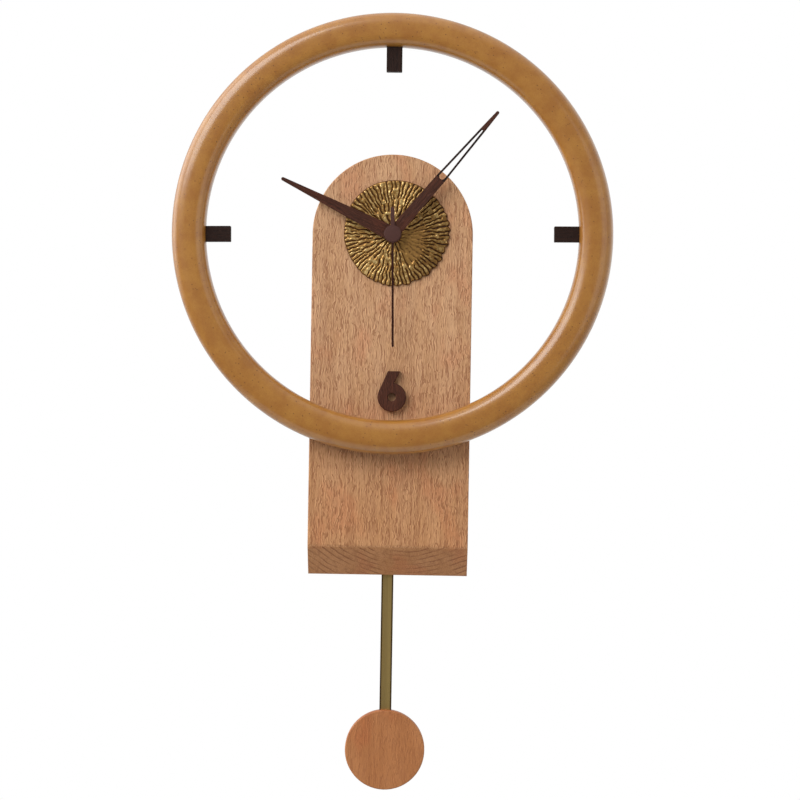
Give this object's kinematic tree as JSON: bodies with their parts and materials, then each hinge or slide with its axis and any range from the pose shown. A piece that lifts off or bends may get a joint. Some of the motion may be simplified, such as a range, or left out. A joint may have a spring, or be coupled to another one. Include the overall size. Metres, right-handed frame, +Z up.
{
  "type": "wall clock",
  "caption": "Pendulum wall clock: wooden ring dial with applied hour markers on an arched backboard, quartz hands and a swinging bob below.",
  "frame": {"origin": "the hanging point: the top of the hanger's slot, in the plane of the wall", "axes": "+Z up, +X to the right of a person facing the clock, the front towards -Y and the wall at y = 0"},
  "size_m": [0.3994, 0.0675, 0.7088],
  "materials": {
    "beech": "satin lacquered solid beech, straight fine grain",
    "ring_wood": "honey-stained wood under a satin lacquer",
    "walnut": "dark walnut, oiled",
    "walnut_paint": "thin sheet painted dark brown",
    "antique_brass": "antiqued embossed brass",
    "bronzed_bar": "satin bronze-coloured bar",
    "brass": "turned brass",
    "steel": "bright zinc-plated steel",
    "black_plastic": "moulded, matte",
    "white_plastic": "moulded acetal",
    "red_plastic": "moulded",
    "copper": "enamelled copper wire winding",
    "circuit_green": "printed circuit board",
    "magnet": "sintered magnet",
    "battery_wrap": "plain wrapped cell, no print",
    "felt": "felt pad",
    "rubber": "soft gasket"
  },
  "bodies": {
    "clock_case": {"backboard": "beech", "ring_frame": "ring_wood", "marker_12": "walnut", "marker_3": "walnut", "marker_9": "walnut", "numeral_6": "walnut", "brass_leaf": "antique_brass", "rubber_gasket": "rubber", "threaded_bushing": "brass", "shaft_washer": "brass", "shaft_nut": "brass", "stator": "steel", "coil_core": "steel", "coil_winding": "copper", "circuit_board": "circuit_green", "quartz_crystal": "steel", "timing_chip": "black_plastic", "movement_case": "black_plastic", "movement_cover": "black_plastic", "battery": "battery_wrap", "contact_positive": "steel", "contact_spring": "steel", "drive_case": "black_plastic", "drive_lid": "black_plastic", "drive_coil": "copper", "drive_circuit_board": "circuit_green", "pivot_pin": "steel", "hanger_plate": "steel", "hanger_screw_left": "steel", "hanger_screw_right": "steel", "ring_screw_left": "steel", "ring_screw_right": "steel", "ring_dowel": "beech", "wall_pad_upper_left": "felt", "wall_pad_upper_right": "felt", "wall_pad_lower_left": "felt", "wall_pad_lower_right": "felt"},
    "minute_hand_group": {"minute_hand": "walnut", "minute_hand_bush": "brass", "centre_wheel": "brass"},
    "hour_hand_group": {"hour_hand": "walnut", "hour_hand_bush": "brass", "hour_wheel": "brass"},
    "second_hand_group": {"second_hand": "walnut_paint", "second_hand_tube": "brass", "seconds_spindle": "steel", "seconds_wheel": "white_plastic"},
    "third_wheel_group": {"third_wheel": "white_plastic"},
    "minute_work_group": {"minute_wheel": "white_plastic"},
    "setting_group": {"setting_pinion": "white_plastic", "setting_knob": "red_plastic"},
    "intermediate_group": {"intermediate_wheel": "white_plastic"},
    "rotor_group": {"rotor_pinion": "white_plastic", "rotor_magnet": "magnet"},
    "pendulum_group": {"swing_arm": "white_plastic", "arm_magnet": "magnet", "pendulum_rod": "bronzed_bar", "pendulum_bob": "beech", "bob_screw": "brass"}
  },
  "joints": [
    {"name": "minute_spin", "type": "hinge", "parent": "clock_case", "child": "minute_hand_group", "pos_m": [0, -0.0465, -0.058], "axis": [0, 1, 0], "continuous": true},
    {"name": "hour_spin", "type": "hinge", "parent": "clock_case", "child": "hour_hand_group", "pos_m": [0, -0.0465, -0.058], "axis": [0, 1, 0], "continuous": true},
    {"name": "seconds_spin", "type": "hinge", "parent": "clock_case", "child": "second_hand_group", "pos_m": [0, -0.0465, -0.058], "axis": [0, 1, 0], "continuous": true},
    {"name": "third_wheel_spin", "type": "hinge", "parent": "clock_case", "child": "third_wheel_group", "pos_m": [0.00479, -0.016, -0.04899], "axis": [0, 1, 0], "continuous": true},
    {"name": "minute_work_spin", "type": "hinge", "parent": "clock_case", "child": "minute_work_group", "pos_m": [-0.00727, -0.021, -0.0538], "axis": [0, 1, 0], "continuous": true},
    {"name": "setting_spin", "type": "hinge", "parent": "clock_case", "child": "setting_group", "pos_m": [-0.01559, -0.012, -0.05263], "axis": [0, 1, 0], "continuous": true},
    {"name": "intermediate_spin", "type": "hinge", "parent": "clock_case", "child": "intermediate_group", "pos_m": [0.0084, -0.0115, -0.058], "axis": [0, 1, 0], "continuous": true},
    {"name": "rotor_spin", "type": "hinge", "parent": "clock_case", "child": "rotor_group", "pos_m": [0.0168, -0.014, -0.058], "axis": [0, 1, 0], "continuous": true},
    {"name": "pendulum_swing", "type": "hinge", "parent": "clock_case", "child": "pendulum_group", "pos_m": [0, -0.01, -0.098], "axis": [0, 1, 0], "range_deg": [-8, 8]}
  ],
  "couplings": [
    {"joint": "hour_spin", "follows": "minute_spin", "ratio": 0.083333},
    {"joint": "seconds_spin", "follows": "minute_spin", "ratio": 60},
    {"joint": "third_wheel_spin", "follows": "minute_spin", "ratio": -8},
    {"joint": "minute_work_spin", "follows": "minute_spin", "ratio": -0.33333},
    {"joint": "setting_spin", "follows": "minute_spin", "ratio": 1},
    {"joint": "intermediate_spin", "follows": "minute_spin", "ratio": -300},
    {"joint": "rotor_spin", "follows": "minute_spin", "ratio": 1800}
  ]
}
